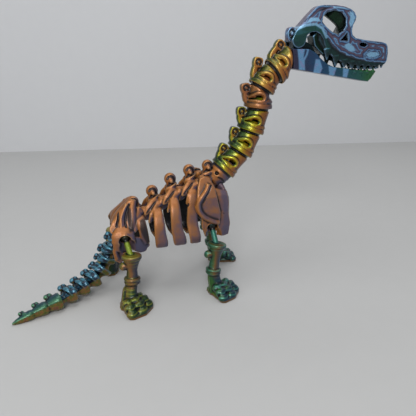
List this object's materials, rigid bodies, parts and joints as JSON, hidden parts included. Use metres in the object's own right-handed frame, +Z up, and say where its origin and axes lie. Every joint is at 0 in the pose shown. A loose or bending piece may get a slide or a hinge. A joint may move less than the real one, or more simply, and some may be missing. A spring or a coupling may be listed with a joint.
{
  "type": "articulated dinosaur skeleton toy",
  "caption": "Ball-jointed long-necked dinosaur skeleton toy in shiny printed plastic, standing on its feet, with an opening skull, hollow rib cage and flared neck and tail links.",
  "frame": {"origin": "on the floor under the middle of the toy's bounding box", "axes": "+X towards the head, +Y to the animal's left, +Z up"},
  "size_m": [0.3349, 0.1074, 0.2409],
  "materials": {
    "skull_silk": "silk PLA, slate purple with light blue bands",
    "jaw_silk": "silk PLA, dark teal with light blue bands",
    "upper_neck_silk": "silk PLA, copper to gold",
    "lower_neck_silk": "silk PLA, gold to green",
    "trunk_silk": "silk PLA, copper brown with slate purple faces",
    "tail_silk": "silk PLA, dark navy and cyan with copper bellies",
    "fore_leg_silk": "silk PLA, teal with gold and green",
    "hind_leg_silk": "silk PLA, yellow-green with teal"
  },
  "bodies": {
    "chest": {"chest": "trunk_silk"},
    "jaw": {"jaw": "jaw_silk"},
    "leg_fore_left": {"leg_fore_left": "fore_leg_silk"},
    "leg_fore_right": {"leg_fore_right": "fore_leg_silk"},
    "leg_hind_left": {"leg_hind_left": "hind_leg_silk"},
    "leg_hind_right": {"leg_hind_right": "hind_leg_silk"},
    "neck_1": {"neck_1": "lower_neck_silk"},
    "neck_2": {"neck_2": "lower_neck_silk"},
    "neck_3": {"neck_3": "lower_neck_silk"},
    "neck_4": {"neck_4": "upper_neck_silk"},
    "neck_5": {"neck_5": "upper_neck_silk"},
    "neck_6": {"neck_6": "upper_neck_silk"},
    "pelvis": {"pelvis": "trunk_silk"},
    "rib_link_1": {"rib_link_1": "trunk_silk"},
    "rib_link_2": {"rib_link_2": "trunk_silk"},
    "rib_link_3": {"rib_link_3": "trunk_silk"},
    "skull": {"skull": "skull_silk"},
    "tail_1": {"tail_1": "tail_silk"},
    "tail_2": {"tail_2": "tail_silk"},
    "tail_3": {"tail_3": "tail_silk"},
    "tail_4": {"tail_4": "tail_silk"},
    "tail_5": {"tail_5": "tail_silk"},
    "tail_6": {"tail_6": "tail_silk"},
    "tail_7": {"tail_7": "tail_silk"},
    "tail_tip": {"tail_tip": "tail_silk"}
  },
  "joints": [
    {"name": "neck_1_swing", "type": "hinge", "parent": "chest", "child": "neck_1", "pos_m": [0.01809, 0.00323, 0.1066], "axis": [0, 1, 0], "range_deg": [-2, 8]},
    {"name": "neck_2_swing", "type": "hinge", "parent": "neck_1", "child": "neck_2", "pos_m": [0.03319, 0.00323, 0.1224], "axis": [0, 1, 0], "range_deg": [-2, 8]},
    {"name": "neck_3_swing", "type": "hinge", "parent": "neck_2", "child": "neck_3", "pos_m": [0.04249, 0.00323, 0.1402], "axis": [0, 1, 0], "range_deg": [-2, 8]},
    {"name": "neck_4_swing", "type": "hinge", "parent": "neck_3", "child": "neck_4", "pos_m": [0.04869, 0.00323, 0.1601], "axis": [0, 1, 0], "range_deg": [-2, 8]},
    {"name": "neck_5_swing", "type": "hinge", "parent": "neck_4", "child": "neck_5", "pos_m": [0.05159, 0.00323, 0.1763], "axis": [0, 1, 0], "range_deg": [-2, 8]},
    {"name": "neck_6_swing", "type": "hinge", "parent": "neck_5", "child": "neck_6", "pos_m": [0.06309, 0.00323, 0.1887], "axis": [0, 1, 0], "range_deg": [-2, 8]},
    {"name": "jaw_nod", "type": "hinge", "parent": "neck_6", "child": "jaw", "pos_m": [0.08119, 0.00323, 0.1994], "axis": [0, 1, 0], "range_deg": [-3, 3]},
    {"name": "skull_open", "type": "hinge", "parent": "jaw", "child": "skull", "pos_m": [0.07989, 0.00323, 0.2134], "axis": [0, -1, 0], "range_deg": [0, 15]},
    {"name": "trunk_1_bend", "type": "hinge", "parent": "chest", "child": "rib_link_1", "pos_m": [-0.00581, 0.00323, 0.0915], "axis": [0, 1, 0], "range_deg": [-2, 2]},
    {"name": "trunk_2_bend", "type": "hinge", "parent": "rib_link_1", "child": "rib_link_2", "pos_m": [-0.02271, 0.00323, 0.086], "axis": [0, 1, 0], "range_deg": [-2, 2]},
    {"name": "trunk_3_bend", "type": "hinge", "parent": "rib_link_2", "child": "rib_link_3", "pos_m": [-0.03931, 0.00323, 0.0786], "axis": [0, 1, 0], "range_deg": [-2, 2]},
    {"name": "trunk_4_bend", "type": "hinge", "parent": "rib_link_3", "child": "pelvis", "pos_m": [-0.05431, 0.00323, 0.07], "axis": [0, 1, 0], "range_deg": [-2, 2]},
    {"name": "tail_1_swing", "type": "hinge", "parent": "pelvis", "child": "tail_1", "pos_m": [-0.07881, 0.00423, 0.0505], "axis": [0, 1, 0], "range_deg": [-6, 6]},
    {"name": "tail_2_swing", "type": "hinge", "parent": "tail_1", "child": "tail_2", "pos_m": [-0.08511, 0.00403, 0.0414], "axis": [0, 1, 0], "range_deg": [-6, 6]},
    {"name": "tail_3_swing", "type": "hinge", "parent": "tail_2", "child": "tail_3", "pos_m": [-0.08931, 0.00323, 0.0314], "axis": [0, 1, 0], "range_deg": [-6, 6]},
    {"name": "tail_4_swing", "type": "hinge", "parent": "tail_3", "child": "tail_4", "pos_m": [-0.09411, 0.00143, 0.0222], "axis": [0, 1, 0], "range_deg": [-6, 6]},
    {"name": "tail_5_swing", "type": "hinge", "parent": "tail_4", "child": "tail_5", "pos_m": [-0.10171, -0.00177, 0.0152], "axis": [0, 0, 1], "range_deg": [-6, 6]},
    {"name": "tail_6_swing", "type": "hinge", "parent": "tail_5", "child": "tail_6", "pos_m": [-0.11151, -0.00717, 0.0112], "axis": [0, 0, 1], "range_deg": [-6, 6]},
    {"name": "tail_7_swing", "type": "hinge", "parent": "tail_6", "child": "tail_7", "pos_m": [-0.12151, -0.01357, 0.0092], "axis": [0, 0, 1], "range_deg": [-6, 6]},
    {"name": "tail_tip_swing", "type": "hinge", "parent": "tail_7", "child": "tail_tip", "pos_m": [-0.13171, -0.02017, 0.0076], "axis": [0, 0, 1], "range_deg": [-6, 6]},
    {"name": "leg_fore_right_swing", "type": "hinge", "parent": "chest", "child": "leg_fore_right", "pos_m": [0.00229, -0.01377, 0.06], "axis": [0, 1, 0], "range_deg": [-8, 8]},
    {"name": "leg_fore_left_swing", "type": "hinge", "parent": "chest", "child": "leg_fore_left", "pos_m": [0.00229, 0.02023, 0.06], "axis": [0, 1, 0], "range_deg": [-8, 8]},
    {"name": "leg_hind_right_swing", "type": "hinge", "parent": "pelvis", "child": "leg_hind_right", "pos_m": [-0.07391, -0.01377, 0.0565], "axis": [0, 1, 0], "range_deg": [-8, 8]},
    {"name": "leg_hind_left_swing", "type": "hinge", "parent": "pelvis", "child": "leg_hind_left", "pos_m": [-0.07391, 0.02023, 0.0565], "axis": [0, 1, 0], "range_deg": [-8, 8]}
  ]
}
